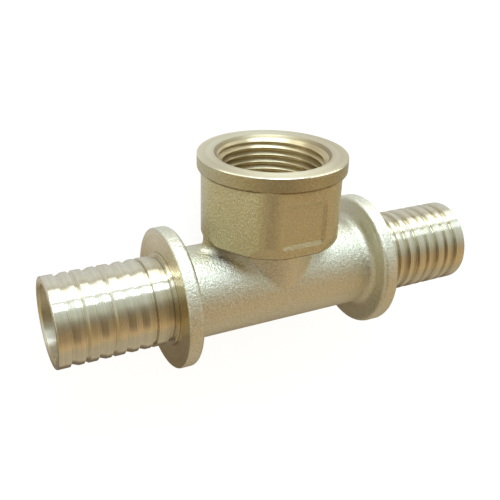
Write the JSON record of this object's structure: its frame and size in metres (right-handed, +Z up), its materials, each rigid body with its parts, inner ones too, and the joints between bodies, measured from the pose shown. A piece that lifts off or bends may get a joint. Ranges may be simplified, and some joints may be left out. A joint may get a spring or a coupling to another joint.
{
  "type": "pex threaded tee",
  "caption": "Brass pipe tee: ribbed tails with stop collars for sleeved plastic pipe, and a hexagonal branch with a female parallel pipe thread.",
  "frame": {"origin": "where the axis of the run crosses the axis of the branch", "axes": "+X along the run, +Y along the branch towards its threaded mouth, +Z up, out of the panelled flat of the hexagon, with the tee lying on its collars and rim"},
  "size_m": [0.14, 0.0631, 0.045],
  "materials": {
    "brass": "sand-blasted forging with turned tails, rim face and thread"
  },
  "bodies": {
    "root": {"tee_body": "brass"}
  },
  "joints": []
}
